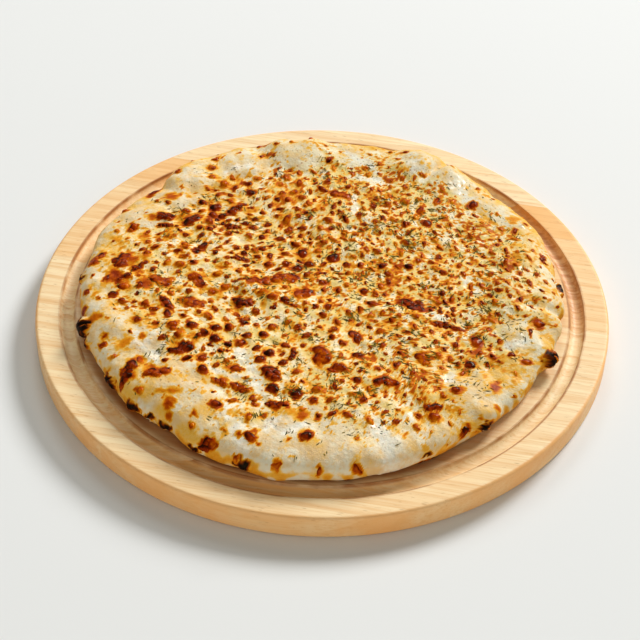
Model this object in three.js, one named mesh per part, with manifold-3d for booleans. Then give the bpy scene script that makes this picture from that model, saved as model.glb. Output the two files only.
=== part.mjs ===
// A round cheese flatbread resting on a round edge-glued wooden serving board.
// Millimetres, +Z up. The origin is the centre of the board's underside and +X runs along the grain.

import * as THREE from 'three';
import { mergeVertices } from 'three/addons/utils/BufferGeometryUtils.js';
import Module from 'manifold-3d';

// Board
const boardRadius = 175;
const boardThickness = 16;
const boardEdgeRound = 2; // radius on the top and bottom edges
const grooveInnerRadius = 151;
const grooveWidth = 9.3;
const grooveDepth = 3.5;
const glueLines = [-144, -47.3, 7, 90, 119]; // where the staves meet, along Y
const glueGap = 0.3;
const boardSegments = 96;
const edgeSteps = 2; // half the number of facets in each rounded corner and in the groove

// Bread
const breadClearance = 0.3; // between the board's top and the bread's flat base
const breadRadius = 145.5; // at the widest part of the side, before the puffs
const breadThickness = 18.5;
const sideHeight = 5.5; // how far up the widest part of the side is
const undercut = 5; // how far the base stays inside the widest part
const edgePower = 6; // the higher it is, the flatter the top and the steeper its edge
const edgeSoftness = 0.343;
const crownRings = 9;
const undercutRings = 4;
const breadSegments = 96;

// Blisters and dents of the dough around the rim: `at` and `spread` in degrees from +X,
// `reach` outwards and `rise` upwards.
const puffs = [
  { at: 12, spread: 12, reach: 1, rise: 0 },
  { at: 33, spread: 5, reach: 2, rise: 0 },
  { at: 47, spread: 6, reach: 1, rise: 1 },
  { at: 58, spread: 4, reach: 2, rise: 3 },
  { at: 67, spread: 2.5, reach: 3.5, rise: 6 },
  { at: 75, spread: 2.8, reach: 4.5, rise: 7 },
  { at: 104.5, spread: 3.2, reach: 2.5, rise: 6 },
  { at: 112.5, spread: 3, reach: 2, rise: 5 },
  { at: 123, spread: 5, reach: 2.5, rise: 3 },
  { at: 141, spread: 5, reach: 4, rise: 3.5 },
  { at: 150, spread: 2.5, reach: -4, rise: -1 },
  { at: 170, spread: 6, reach: 3, rise: 0.5 },
  { at: 190, spread: 8, reach: 1.5, rise: 0 },
  { at: 243, spread: 4, reach: -2.5, rise: 0 },
  { at: 251, spread: 4, reach: 2, rise: 0.5 },
  { at: 275, spread: 20, reach: 3.5, rise: 0 },
  { at: 330, spread: 14, reach: -1.5, rise: 0 },
];
const rimStart = 0.62; // share of the radius where a puff begins to lift the top
const rimFull = 0.9;

const wasm = await Module();
wasm.setup();

const wood = new THREE.MeshStandardMaterial({ color: 0xd9b07c, roughness: 0.55, metalness: 0 });
const crust = new THREE.MeshStandardMaterial({ color: 0xe3b777, roughness: 0.45, metalness: 0 });

// Merges the shared vertices of a geometry and drops the flat triangles that a lathe leaves on its axis.
function welded(geometry) {
  const bare = geometry.clone();
  bare.deleteAttribute('normal');
  bare.deleteAttribute('uv');
  const merged = mergeVertices(bare, 1e-4);
  const kept = [];
  const index = merged.index.array;
  for (let i = 0; i < index.length; i += 3) {
    const [a, b, c] = [index[i], index[i + 1], index[i + 2]];
    if (a !== b && b !== c && c !== a) kept.push(a, b, c);
  }
  merged.setIndex(kept);
  return merged;
}

// A lathe geometry stood up, so that its axis is Z.
function turned(points, segments) {
  const geometry = welded(new THREE.LatheGeometry(points, segments));
  geometry.rotateX(Math.PI / 2);
  return geometry;
}

function toSolid(geometry) {
  const vertProperties = new Float32Array(geometry.attributes.position.array);
  const triVerts = new Uint32Array(geometry.index.array);
  return new wasm.Manifold(new wasm.Mesh({ numProp: 3, vertProperties, triVerts }));
}

function toGeometry(solid) {
  const mesh = solid.getMesh();
  const geometry = new THREE.BufferGeometry();
  geometry.setAttribute('position', new THREE.BufferAttribute(mesh.vertProperties, 3));
  geometry.setIndex(new THREE.BufferAttribute(mesh.triVerts, 1));
  return geometry;
}

// Half of the board's cross-section, from the axis out along the underside and back over the top.
// The groove is an arc through its two lips and its deepest point.
function boardProfile() {
  const round = boardEdgeRound;
  const halfWidth = grooveWidth / 2;
  const grooveArc = (halfWidth ** 2 + grooveDepth ** 2) / (2 * grooveDepth);
  const grooveMiddle = grooveInnerRadius + halfWidth;
  const lipAngle = Math.atan2(grooveDepth - grooveArc, halfWidth);
  const path = new THREE.Path();
  path.moveTo(0, 0);
  path.lineTo(boardRadius - round, 0);
  path.absarc(boardRadius - round, round, round, -Math.PI / 2, 0, false);
  path.lineTo(boardRadius, boardThickness - round);
  path.absarc(boardRadius - round, boardThickness - round, round, 0, Math.PI / 2, false);
  path.lineTo(grooveMiddle + halfWidth, boardThickness);
  const arcHeight = boardThickness - grooveDepth + grooveArc;
  path.absarc(grooveMiddle, arcHeight, grooveArc, lipAngle, -Math.PI - lipAngle, true);
  path.lineTo(0, boardThickness);
  return path.getPoints(edgeSteps);
}

// The board's disc cut into staves along its glue lines, each a strip of the disc.
function boardStaves() {
  const disc = toSolid(turned(boardProfile(), boardSegments));
  const overhang = 5;
  const edges = [-boardRadius - overhang, ...glueLines, boardRadius + overhang];
  const length = 2 * (boardRadius + overhang);
  const staves = new THREE.Group();
  for (let i = 0; i + 1 < edges.length; i += 1) {
    const width = edges[i + 1] - edges[i] - glueGap;
    const strip = new THREE.BoxGeometry(length, width, boardThickness + 2 * overhang);
    strip.translate(0, (edges[i] + edges[i + 1]) / 2, boardThickness / 2);
    const stave = new THREE.Mesh(toGeometry(disc.intersect(toSolid(welded(strip)))), wood);
    stave.name = `board_stave_${i + 1}`;
    staves.add(stave);
  }
  return staves;
}

// Half of the bread's cross-section: its flat base, the rounded undercut, then a superellipse
// from the widest part of the side up to the middle of the top.
function breadProfile() {
  const points = [new THREE.Vector2(0, 0)];
  for (let i = 0; i <= undercutRings; i += 1) {
    const turn = (i / undercutRings) * (Math.PI / 2);
    const inset = undercut * (1 - Math.sin(turn));
    points.push(new THREE.Vector2(breadRadius - inset, sideHeight * (1 - Math.cos(turn))));
  }
  for (let i = 1; i <= crownRings; i += 1) {
    const turn = (i / crownRings) ** 1.3 * (Math.PI / 2);
    const share = i < crownRings ? Math.cos(turn) ** (2 / edgePower) : 0;
    const lift = Math.sin(turn) ** (2 * edgeSoftness);
    points.push(new THREE.Vector2(breadRadius * share, sideHeight + (breadThickness - sideHeight) * lift));
  }
  return points;
}

// How far the puffs push the rim out and up at an angle in radians.
function puffAt(angle) {
  let reach = 0;
  let rise = 0;
  for (const puff of puffs) {
    const apart = THREE.MathUtils.radToDeg(angle) - puff.at;
    const offset = THREE.MathUtils.euclideanModulo(apart + 180, 360) - 180;
    const weight = Math.exp(-0.5 * (offset / puff.spread) ** 2);
    reach += puff.reach * weight;
    rise += puff.rise * weight;
  }
  return { reach, rise };
}

// One baked piece: the lathed cross-section, pushed out and up around its rim by the puffs.
function bread() {
  const geometry = turned(breadProfile(), breadSegments);
  const position = geometry.attributes.position;
  for (let i = 0; i < position.count; i += 1) {
    const [x, y, z] = [position.getX(i), position.getY(i), position.getZ(i)];
    const share = Math.hypot(x, y) / breadRadius;
    const { reach, rise } = puffAt(Math.atan2(y, x));
    const stretch = 1 + (reach / breadRadius) * THREE.MathUtils.smoothstep(share, rimStart, rimFull);
    const above = Math.max(0, z - sideHeight) / (breadThickness - sideHeight);
    const lift = rise * above * THREE.MathUtils.smoothstep(share, rimStart, rimFull);
    position.setXYZ(i, x * stretch, y * stretch, z + lift + boardThickness + breadClearance);
  }
  const mesh = new THREE.Mesh(geometry, crust);
  mesh.name = 'cheese_flatbread';
  return mesh;
}

const model = new THREE.Group();
model.add(boardStaves(), bread());

export default model;
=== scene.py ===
import math

import bmesh
import bpy
import numpy as np
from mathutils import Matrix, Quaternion, Vector


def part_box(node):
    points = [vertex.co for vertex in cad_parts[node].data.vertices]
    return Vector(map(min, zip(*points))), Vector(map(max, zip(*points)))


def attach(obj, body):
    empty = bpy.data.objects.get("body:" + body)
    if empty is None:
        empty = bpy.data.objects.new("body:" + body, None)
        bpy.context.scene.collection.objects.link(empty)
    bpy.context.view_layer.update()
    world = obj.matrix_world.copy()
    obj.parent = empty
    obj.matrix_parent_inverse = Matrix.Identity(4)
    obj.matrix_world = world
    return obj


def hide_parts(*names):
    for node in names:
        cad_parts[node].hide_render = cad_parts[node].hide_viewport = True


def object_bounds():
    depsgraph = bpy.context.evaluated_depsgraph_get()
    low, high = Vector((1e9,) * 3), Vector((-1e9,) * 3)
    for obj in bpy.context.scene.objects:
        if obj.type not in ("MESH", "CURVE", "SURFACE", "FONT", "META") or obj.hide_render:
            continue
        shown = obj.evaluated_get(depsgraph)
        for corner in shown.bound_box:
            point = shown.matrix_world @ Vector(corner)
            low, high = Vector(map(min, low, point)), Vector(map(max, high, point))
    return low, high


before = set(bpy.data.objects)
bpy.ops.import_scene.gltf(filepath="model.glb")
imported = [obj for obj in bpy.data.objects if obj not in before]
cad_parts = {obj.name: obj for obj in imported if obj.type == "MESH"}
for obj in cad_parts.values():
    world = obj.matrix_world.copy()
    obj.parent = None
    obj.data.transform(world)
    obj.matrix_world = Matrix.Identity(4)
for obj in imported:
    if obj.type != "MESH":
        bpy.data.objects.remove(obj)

cadLow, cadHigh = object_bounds()  # the CAD box, before any new piece is made
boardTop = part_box("board_stave_3")[1].z
boardRadius = cadHigh.x
mm = 0.001

# camera, floor and light; azimuth 0 is the front, -Y, and it grows towards +X
shot = {
    "azimuth": 10.0,  # so the wood grain crosses the view at a slant
    "elevation": 42.98,
    "roll": 1.41,
    "distance": 1.0455,
    "lens": 97.0,
    "aim": (0.0017, -0.0175),
    "floorSize": 24.0,
    "floorDrop": 0.2 * mm,  # just under the board, so that the two never share a plane
    "floorTone": (0.79, 0.805, 0.795),
    "fillStrength": 0.27,
    "fillTint": (1.0, 0.995, 0.91),
    # each light: power, size, tint, the side it comes from, its elevation and its distance
    "lights": {
        "keyLight": (418.0, 1.9, (1.0, 0.99, 0.995), 153.0, 31.0, 6.0),
        "backLight": (74.0, 2.3, (1.0, 0.99, 0.99), 196.0, 41.0, 6.0),
        "frontLight": (23.0, 2.2, (1.0, 0.95, 0.87), 5.0, 15.0, 3.0),
    },
}


def towards(azimuth, elevation):
    # unit vector from the object to something seen at that azimuth and elevation
    a, e = math.radians(azimuth), math.radians(elevation)
    return np.array([math.sin(a) * math.cos(e), -math.cos(a) * math.cos(e), math.sin(e)])


def aimAt(thing, spot, target, roll=0.0):
    # puts a camera or light at a spot, facing the target, turned about its own axis by roll degrees
    turn = Vector(target - spot).to_track_quat("-Z", "Y")
    thing.rotation_mode = "QUATERNION"
    thing.rotation_quaternion = turn @ Quaternion((0, 0, 1), math.radians(roll))
    thing.location = spot


def addThing(name, data):
    # a new object that holds the given mesh, camera or light
    thing = bpy.data.objects.new(name, data)
    bpy.context.scene.collection.objects.link(thing)
    return thing


def setStage(look):
    # camera, light, floor and render settings
    scene = bpy.context.scene
    lens = bpy.data.cameras.new("mainCamera")
    lens.lens = look["lens"]
    lens.clip_end = 60
    camera = addThing("mainCamera", lens)
    target = np.array([*look["aim"], boardTop])
    spot = target + look["distance"] * towards(look["azimuth"], look["elevation"])
    aimAt(camera, spot, target, look["roll"])
    scene.camera = camera

    middle = np.array([0.0, 0.0, boardTop])
    for name, (power, size, colour, azimuth, elevation, distance) in look["lights"].items():
        light = bpy.data.lights.new(name, "AREA")
        light.shape = "DISK"
        light.size = size
        light.energy = power
        light.color = colour
        aimAt(addThing(name, light), middle + distance * towards(azimuth, elevation), middle)

    world = bpy.data.worlds.new("softFill")
    world.use_nodes = True
    fill = world.node_tree.nodes["Background"]
    fill.inputs["Color"].default_value = (*look["fillTint"], 1)
    fill.inputs["Strength"].default_value = look["fillStrength"]
    scene.world = world
    scene.view_settings.view_transform = "Standard"

    half, drop = look["floorSize"] / 2, -look["floorDrop"]
    corners = [(-half, -half, drop), (half, -half, drop), (half, half, drop), (-half, half, drop)]
    mesh = bpy.data.meshes.new("paleFloor")
    mesh.from_pydata(corners, [], [(0, 1, 2, 3)])
    floor = addThing("paleFloor", mesh)
    paint = bpy.data.materials.new("paleFloor")
    paint.use_nodes = True
    surface = paint.node_tree.nodes["Principled BSDF"]
    surface.inputs["Base Color"].default_value = (*look["floorTone"], 1)
    surface.inputs["Roughness"].default_value = 0.9
    surface.inputs["Specular IOR Level"].default_value = 0.2
    mesh.materials.append(paint)
    print("stage: camera, floor, fill and", len(look["lights"]), "lights are set")


setStage(shot)


def tint(red, green, blue):
    # a colour given as it looks on a screen, 0 to 255, turned into the shader's linear values
    share = np.array([red, green, blue]) / 255
    curve = ((share + 0.055) / 1.055) ** 2.4
    return tuple(float(v) for v in np.where(share < 0.04045, share / 12.92, curve))


def smoothStep(low, high, value):
    # 0 below low, 1 above high, and an S-shaped rise between them
    t = np.clip((value - low) / (high - low), 0, 1)
    return t * t * (3 - 2 * t)


def makePiece(name, points, quads, triangles=None, values=None):
    # a smooth mesh object from an array of points and of faces, with one named attribute per entry of values
    mesh = bpy.data.meshes.new(name)
    loose = np.asarray(quads, np.int32).ravel()
    counts = np.full(len(quads), 4, np.int32)
    if triangles is not None:
        loose = np.concatenate([loose, np.asarray(triangles, np.int32).ravel()])
        counts = np.concatenate([counts, np.full(len(triangles), 3, np.int32)])
    starts = np.concatenate([[0], np.cumsum(counts)[:-1]])
    mesh.vertices.add(len(points))
    mesh.vertices.foreach_set("co", np.asarray(points, np.float32).ravel())
    mesh.loops.add(len(loose))
    mesh.loops.foreach_set("vertex_index", loose)
    mesh.polygons.add(len(counts))
    mesh.polygons.foreach_set("loop_start", starts.astype(np.int32))
    mesh.polygons.foreach_set("use_smooth", np.ones(len(counts), bool))
    mesh.update(calc_edges=True)
    for key, value in (values or {}).items():
        layer = mesh.attributes.new(key, "FLOAT", "POINT")
        layer.data.foreach_set("value", np.asarray(value, np.float32))
    mesh.validate()
    return addThing(name, mesh)


def gridQuads(rows, columns, start=0):
    # the faces of a grid of points stored row by row, counted from point number start
    index = np.arange(rows * columns).reshape(rows, columns) + start
    return np.stack([index[:-1, :-1], index[:-1, 1:], index[1:, 1:], index[1:, :-1]], -1).reshape(-1, 4)


def gridBorder(rows, columns):
    # the point numbers once round the edge of such a grid
    index = np.arange(rows * columns).reshape(rows, columns)
    return np.concatenate([index[0, :-1], index[:-1, -1], index[-1, :0:-1], index[:0:-1, 0]])


def weld(piece, apart):
    # merges points closer than apart, and drops the faces that this flattens
    work = bmesh.new()
    work.from_mesh(piece.data)
    bmesh.ops.remove_doubles(work, verts=work.verts, dist=apart)
    bmesh.ops.dissolve_degenerate(work, edges=work.edges, dist=apart / 4)
    bmesh.ops.recalc_face_normals(work, faces=work.faces)
    work.to_mesh(piece.data)
    work.free()


def faceCorners(piece):
    # the point number of every face corner, in the order of a UV layer
    index = np.zeros(len(piece.data.loops), np.int32)
    piece.data.loops.foreach_get("vertex_index", index)
    return index


def setUv(piece, uv):
    # the sheet that the colours are baked on, one place for each face corner
    layer = piece.data.uv_layers.new(name="OFBake")
    layer.data.foreach_set("uv", uv.astype(np.float32).ravel())


class NodeOutput:
    # what comes out of a node; + - * / and abs work on it as on a number, each by one math node

    def __init__(self, nodes, socket):
        self.nodes, self.socket = nodes, socket

    def __add__(self, other):
        return self.nodes.math("ADD", self, other)

    def __sub__(self, other):
        return self.nodes.math("SUBTRACT", self, other)

    def __rsub__(self, other):
        return self.nodes.math("SUBTRACT", other, self)

    def __mul__(self, other):
        return self.nodes.math("MULTIPLY", self, other)

    def __truediv__(self, other):
        return self.nodes.math("DIVIDE", self, other)

    def __abs__(self):
        return self.nodes.math("ABSOLUTE", self)

    __radd__ = __add__
    __rmul__ = __mul__


class Nodes:
    # a short way to write a material: each method adds one node or a few, and returns what comes out

    def __init__(self, name):
        self.material = bpy.data.materials.new(name)
        self.material.use_nodes = True
        self.tree = self.material.node_tree
        self.surface = self.tree.nodes["Principled BSDF"].inputs

    def set(self, **sockets):
        # sets or links the shader's own sockets, an underscore standing for a space
        for key, value in sockets.items():
            self.plug(self.surface[key.replace("_", " ")], value)

    def plug(self, socket, value):
        if isinstance(value, NodeOutput):
            self.tree.links.new(value.socket, socket)
        elif isinstance(value, tuple) and len(value) == 3 and socket.type == "RGBA":
            socket.default_value = (*value, 1)
        else:
            socket.default_value = value

    def add(self, kind, inputs, output=0, **settings):
        made = self.tree.nodes.new(kind)
        for key, value in settings.items():
            setattr(made, key, value)
        for key, value in inputs.items():
            self.plug(made.inputs[key], value)
        return NodeOutput(self, made.outputs[output])

    def outputs(self, value):
        # all the outputs of the node that a value comes from
        return [NodeOutput(self, socket) for socket in value.socket.node.outputs]

    def attribute(self, name, output="Fac"):
        return self.add("ShaderNodeAttribute", {}, output, attribute_name=name)

    def place(self):
        return self.add("ShaderNodeTexCoord", {}, "Object")

    def parts(self, vector):
        return self.outputs(self.add("ShaderNodeSeparateXYZ", {"Vector": vector}))

    def stretch(self, vector, along, across):
        return self.add("ShaderNodeMapping", {"Vector": vector, "Scale": (along, across, across)})

    def noise(self, vector, scale, detail=3.0, rough=0.55, warp=0.0):
        inputs = {"Vector": vector, "Scale": scale, "Detail": detail, "Roughness": rough, "Distortion": warp}
        return self.add("ShaderNodeTexNoise", inputs)

    def dots(self, vector, scale, low, high, chance):
        # round spots, one in each cell of a lottery that only a share of the cells wins
        cells = self.add("ShaderNodeTexVoronoi", {"Vector": vector, "Scale": scale}, "Distance")
        drawn = self.add("ShaderNodeSeparateColor", {"Color": self.outputs(cells)[1]})
        return self.span(cells, low, high) * self.math("GREATER_THAN", drawn, chance)

    def math(self, operation, first, second=0.0, clamp=False):
        return self.add("ShaderNodeMath", {0: first, 1: second}, operation=operation, use_clamp=clamp)

    def length(self, first, second):
        return self.math("SQRT", first * first + second * second)

    def span(self, value, low, high, newLow=0.0, newHigh=1.0):
        # newLow up to low, newHigh from high on, and an S-shaped way between
        inputs = {"Value": value, "From Min": low, "From Max": high, "To Min": newLow, "To Max": newHigh}
        return self.add("ShaderNodeMapRange", inputs, interpolation_type="SMOOTHSTEP")

    def mix(self, factor, first, second, blend="MIX"):
        inputs = {"Factor": factor, 6: first, 7: second}
        return self.add("ShaderNodeMix", inputs, 2, data_type="RGBA", blend_type=blend)

    def ramp(self, value, stops):
        made = self.add("ShaderNodeValToRGB", {"Fac": value})
        band = made.socket.node.color_ramp
        while len(band.elements) < len(stops):
            band.elements.new(0.5)
        for element, (at, colour) in zip(band.elements, stops):
            element.position = at
            element.color = (*colour, 1)
        return made

    def bump(self, height, depth, under=None):
        inputs = {"Height": height, "Distance": depth}
        if under is not None:
            inputs["Normal"] = under
        return self.add("ShaderNodeBump", inputs)


boardLook = {
    "edgeRound": 2.0 * mm,
    "grooveInner": 151.0 * mm,
    "grooveWidth": 9.3 * mm,
    "grooveDepth": 3.5 * mm,
    "groovePoints": 13,
    "lipRound": 0.45 * mm,
    "innerRing": 147.0 * mm,  # inside it the staves are plain flat strips
    "glueGap": 0.08 * mm,
    "crispFrom": 40.0,  # degrees between two faces, above which their edge is drawn crisp
    "rowLength": 2.4 * mm,
    "middleColumns": 24,
    "weldWithin": 0.0005 * mm,
    # tone of each stave, and where the middle of its tree was, across and below the board
    "staves": [
        (0.62, -60 * mm, -70 * mm),
        (0.78, -20 * mm, -90 * mm),
        (0.80, -75 * mm, -55 * mm),
        (0.45, 120 * mm, -60 * mm),
        (0.08, 150 * mm, -45 * mm),
        (0.95, 60 * mm, -110 * mm),
    ],
}


def boardSection(look):
    # radii from the inner ring to the rim, with the height of the top and of the underside at each:
    # flat, an arc of a circle for the groove, flat, and a quarter circle at the edge, above and below
    half, depth = look["grooveWidth"] / 2, look["grooveDepth"]
    arc = (half**2 + depth**2) / (2 * depth)
    lip = math.asin(half / arc)
    turn = np.linspace(-lip, lip, look["groovePoints"])
    grooveR = look["grooveInner"] + half + arc * np.sin(turn)
    grooveZ = boardTop - depth + arc * (1 - np.cos(turn))
    near, edge = look["lipRound"], look["edgeRound"]
    flatIn = [look["innerRing"], grooveR[0] - 2 * near, grooveR[0] - near]
    flatOut = [grooveR[-1] + near, grooveR[-1] + 2 * near, boardRadius - 3 * edge, boardRadius - 1.6 * edge]
    corner = np.linspace(0, math.pi / 2, 8)
    edgeR, edgeZ = boardRadius - edge + edge * np.sin(corner), boardTop - edge + edge * np.cos(corner)
    r = np.concatenate([flatIn, grooveR, flatOut, edgeR])
    z = np.concatenate([np.full(3, boardTop), grooveZ, np.full(4, boardTop), edgeZ])
    past = np.maximum(r - boardRadius + edge, 0)
    under = edge - np.sqrt(np.maximum(edge**2 - past**2, 0))
    return r, z, under


def staveSheet(look, r, low, high, steps):
    # x and y of one sheet of a stave: at radius r each row's angle runs evenly between the two glue lines,
    # so every ring stays round and every glue face stays flat; inside the first ring the rows are straight
    t = np.linspace(0, 1, steps + 1)[:, None]
    start = np.arcsin(np.clip(low / r, -1, 1))[None, :]
    end = np.arcsin(np.clip(high / r, -1, 1))[None, :]
    angle = start + (end - start) * t
    x, y = r * np.cos(angle), r * np.sin(angle)
    across = np.linspace(-1, 1, look["middleColumns"] + 1)[1:-1]
    innerX = x[:, :1] * across
    innerY = np.repeat(y[:, :1], len(across), 1)
    return np.hstack([-x[:, ::-1], innerX, x]), np.hstack([y[:, ::-1], innerY, y])


def makeStave(number, low, high, look, wood):
    # a top and an underside sheet over the same x and y, joined round their border by one wall
    r, zTop, zUnder = boardSection(look)
    arc = math.asin(min(1, high / boardRadius)) - math.asin(max(-1, low / boardRadius))
    steps = max(4, math.ceil(arc * boardRadius / look["rowLength"]))
    x, y = staveSheet(look, r, low, high, steps)
    flat = np.ones(look["middleColumns"] - 1)
    upper = np.broadcast_to(np.concatenate([zTop[::-1], flat * zTop[0], zTop]), x.shape)
    lower = np.broadcast_to(np.concatenate([zUnder[::-1], flat * zUnder[0], zUnder]), x.shape)
    points = np.concatenate([np.stack([x, y, z], -1).reshape(-1, 3) for z in (upper, lower)])
    border = gridBorder(*x.shape)
    after = np.roll(border, -1)
    wall = np.stack([border, border + x.size, after + x.size, after], -1)
    # the two outermost staves end in a point at x = 0, where a wall face would have no area
    wall = wall[np.abs(points[wall][:, :, 0]).max(1) > 1e-9]
    quads = np.vstack([gridQuads(*x.shape), gridQuads(*x.shape, x.size)[:, ::-1], wall])
    piece = makePiece(f"boardStave{number}", points, quads)
    weld(piece, look["weldWithin"])
    piece.data.set_sharp_from_angle(angle=math.radians(look["crispFrom"]))
    layer = piece.data.attributes.new("staveLook", "FLOAT_VECTOR", "POINT")
    everyPoint = np.tile(np.float32(look["staves"][number - 1]), len(piece.data.vertices))
    layer.data.foreach_set("vector", everyPoint)
    piece.data.materials.append(wood)
    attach(piece, "root")
    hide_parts(f"board_stave_{number}")


woodLook = {
    "pale": (0.95, 0.81, 0.51),
    "warm": (0.88, 0.50, 0.18),
    "streak": (0.72, 0.35, 0.09),
    "pore": (0.42, 0.20, 0.06),
    "lip": (0.40, 0.15, 0.035),  # darker lines along the groove's two lips
    "side": (0.93, 0.45, 0.14),  # the rim's side, handled and oiled
    "sideFrom": (172.6 * mm, 174.4 * mm),
    "foot": (0.32, 0.10, 0.014),  # fat stain round the bread's foot, and painted shadow of the bread, strongest at the front
    "footEnds": (153 * mm, 146 * mm),  # nothing from the first radius out, all of it from the second in
    "groove": (0.84, 0.40, 0.09),  # oil soaked into the groove's cut fibres, with painted shade that grows towards the front
    "spill": (0.50, 0.17, 0.035),  # juice that ran into the groove at the right, deepened by painted shade in the groove there
    "spillTurn": 25.0,  # degrees from +X
    "ringWidth": 7.5 * mm,
}


def woodMaterial(look, board):
    # growth rings are cylinders round each stave's tree middle, so the top shows long lines and the ends of
    # the grain show arcs; fine fibres and pores are stretched along X; groove, lips, foot and side colours
    # are laid over it, the groove's and the foot's with painted shade towards the front
    n = Nodes("boardWood")
    spot = n.place()
    x, y, z = n.parts(spot)
    toneShift, pithY, pithZ = n.parts(n.attribute("staveLook", "Vector"))
    slide = n.add("ShaderNodeCombineXYZ", {"X": pithY * 7.0})
    moved = n.add("ShaderNodeVectorMath", {0: spot, 1: slide}, operation="ADD")
    sway = (n.noise(n.stretch(moved, 4.0, 22.0), 1.0, 2.0) - 0.5) * 0.012
    saw = n.math("FRACT", (n.length(y - pithY, z - pithZ) + sway) / look["ringWidth"])
    late = n.span(saw, 0.25, 0.93) * n.span(saw, 1.0, 0.95)
    fibres = n.noise(n.stretch(moved, 30.0, 900.0), 1.0, 3.0, 0.6)
    bands = n.noise(n.stretch(moved, 12.0, 320.0), 1.0, 3.0, 0.6)
    dashes = n.span(n.noise(n.stretch(moved, 160.0, 1300.0), 1.0, 1.0), 0.66, 0.78)
    blotch = n.noise(moved, 16.0)
    tone = toneShift * 0.80 + blotch * 0.80
    colour = n.mix(n.math("SUBTRACT", tone, 0.30, clamp=True), look["warm"], look["pale"])
    rings = late * n.span(blotch, 0.38, 0.62, 0.08, 0.34)
    lines = n.span(bands, 0.44, 0.74) * 0.34
    colour = n.mix(n.math("ADD", rings, lines, clamp=True), colour, look["streak"])
    colour = n.mix(n.span(fibres, 0.46, 0.72, 0.0, 0.42), colour, look["streak"])
    colour = n.mix(dashes * 0.5, colour, look["pore"])

    # stains, lip lines and painted shade: how far a point is from the axis and from the groove's middle, and
    # to which side it lies
    half = board["grooveWidth"] / 2
    radius = n.length(x, y)
    fromMiddle = abs(radius - (board["grooveInner"] + half))
    spill = math.radians(look["spillTurn"])
    towardsFront = (x * -0.1 - y) / radius
    towardsSpill = (x * math.cos(spill) + y * math.sin(spill)) / radius
    onTop = n.span(z, boardTop - 9 * mm, boardTop - 6 * mm)
    cut = n.span(fromMiddle, 5.4 * mm, 3.6 * mm) * n.span(z, boardTop, boardTop - 2.2 * mm) * onTop
    # painted shade in the groove towards the front, where the bread's shadow falls, over an oil stain
    soakedAndShaded = cut * n.span(bands, 0.3, 0.7, 0.3, 0.7) * n.span(towardsFront, 0.6, 1.0, 0.05, 1.0)
    colour = n.mix(soakedAndShaded, colour, look["groove"])
    # juice stain in the groove at the right, deepened by painted shade
    spillAndShade = cut * n.span(bands, 0.35, 0.65, 0.35, 0.85) * n.span(towardsSpill, 0.88, 0.99)
    colour = n.mix(spillAndShade, colour, look["spill"])
    lipLineNoise = n.span(n.noise(moved, 38.0), 0.36, 0.58, 0.25, 0.9) * onTop
    colour = n.mix(n.span(abs(fromMiddle - half), 1.3 * mm, 0.3 * mm) * lipLineNoise, colour, look["lip"])
    # painted shadow of the bread round its foot, strongest towards the front, over a fat stain
    footStainAndShadow = n.span(radius, *look["footEnds"]) * onTop * n.span(towardsFront, 0.25, 0.85, 0.05, 0.97)
    colour = n.mix(footStainAndShadow * n.span(blotch, 0.3, 0.6, 0.75, 1.0), colour, look["foot"])
    handled = n.span(n.noise(moved, 30.0), 0.3, 0.7, 0.35, 0.85)
    colour = n.mix(n.span(radius, *look["sideFrom"]) * handled, colour, look["side"])
    relief = n.bump(fibres * 0.6 - dashes * 0.6, 0.12 * mm)
    n.set(Base_Color=colour, Roughness=n.span(fibres, 0.3, 0.7, 0.42, 0.58), Normal=relief)
    n.set(Specular_IOR_Level=0.22)
    return n.material


def makeBoard(look, wood):
    # each glue line is midway between the boxes of two neighbouring CAD staves
    boxes = [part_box(f"board_stave_{i + 1}") for i in range(len(look["staves"]))]
    lines = [(a[1].y + b[0].y) / 2 for a, b in zip(boxes[:-1], boxes[1:])]
    half = look["glueGap"] / 2
    lows = [-boardRadius] + [line + half for line in lines]
    highs = [line - half for line in lines] + [boardRadius]
    for number, (low, high) in enumerate(zip(lows, highs), 1):
        makeStave(number, low, high, look, wood)
    print("board:", len(boxes), "staves")


makeBoard(boardLook, woodMaterial(woodLook, boardLook))


# the bread: a flat map of its skin, on which everything baked into it is laid out in millimetres
skinStep = 0.275
skinCount = 1200
skinLine = (np.arange(skinCount) - skinCount / 2 + 0.5) * skinStep
skinX, skinY = np.meshgrid(skinLine, skinLine)
skinFar = np.hypot(skinX, skinY)


def cloud(wavelength, seed):
    # soft random field with a mean of 0 and a spread of 1: white noise less what is finer than a wavelength
    white = np.random.default_rng(seed).standard_normal((skinCount, skinCount))
    waves = np.fft.fftfreq(skinCount, skinStep)
    fine = (waves[:, None] ** 2 + waves[None, :] ** 2) * wavelength**2
    soft = np.fft.ifft2(np.fft.fft2(white) * np.exp(-1.2 * fine)).real
    return (soft - soft.mean()) / soft.std()


def between(field, row, column):
    # a grid's value at fractional row and column numbers, from the four grid points around
    i, j = row.astype(int), column.astype(int)
    a, b = row - i, column - j
    if field.ndim == 3:
        a, b = a[..., None], b[..., None]
    upper = field[i, j] * (1 - b) + field[i, j + 1] * b
    lower = field[i + 1, j] * (1 - b) + field[i + 1, j + 1] * b
    return upper * (1 - a) + lower * a


def onSkin(field, x, y):
    # value of a flat map's field at points x, y
    u = np.clip(x / skinStep + skinCount / 2 - 0.5, 0, skinCount - 1.001)
    v = np.clip(y / skinStep + skinCount / 2 - 0.5, 0, skinCount - 1.001)
    return between(field, v, u)


def towardsBack(x, y):
    # 0 at the left and front of the bread, 1 at its right and back
    return smoothStep(-50, 55, x + 0.45 * y)


def bell(far, flat, width):
    # 1 as far as flat, then a bell's slope of the given width
    return np.exp(-((np.maximum(far - flat, 0) / width) ** 2))


def blobs(places):
    # soft round spots, each x, y, radius and strength: strength times a bell, and the strongest one wins
    field = np.zeros_like(skinX)
    for x, y, radius, strength in places:
        near = np.exp(-((((skinX - x) ** 2 + (skinY - y) ** 2) / radius**2) ** 1.5))
        field = np.maximum(field, strength * near)
    return field


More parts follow.
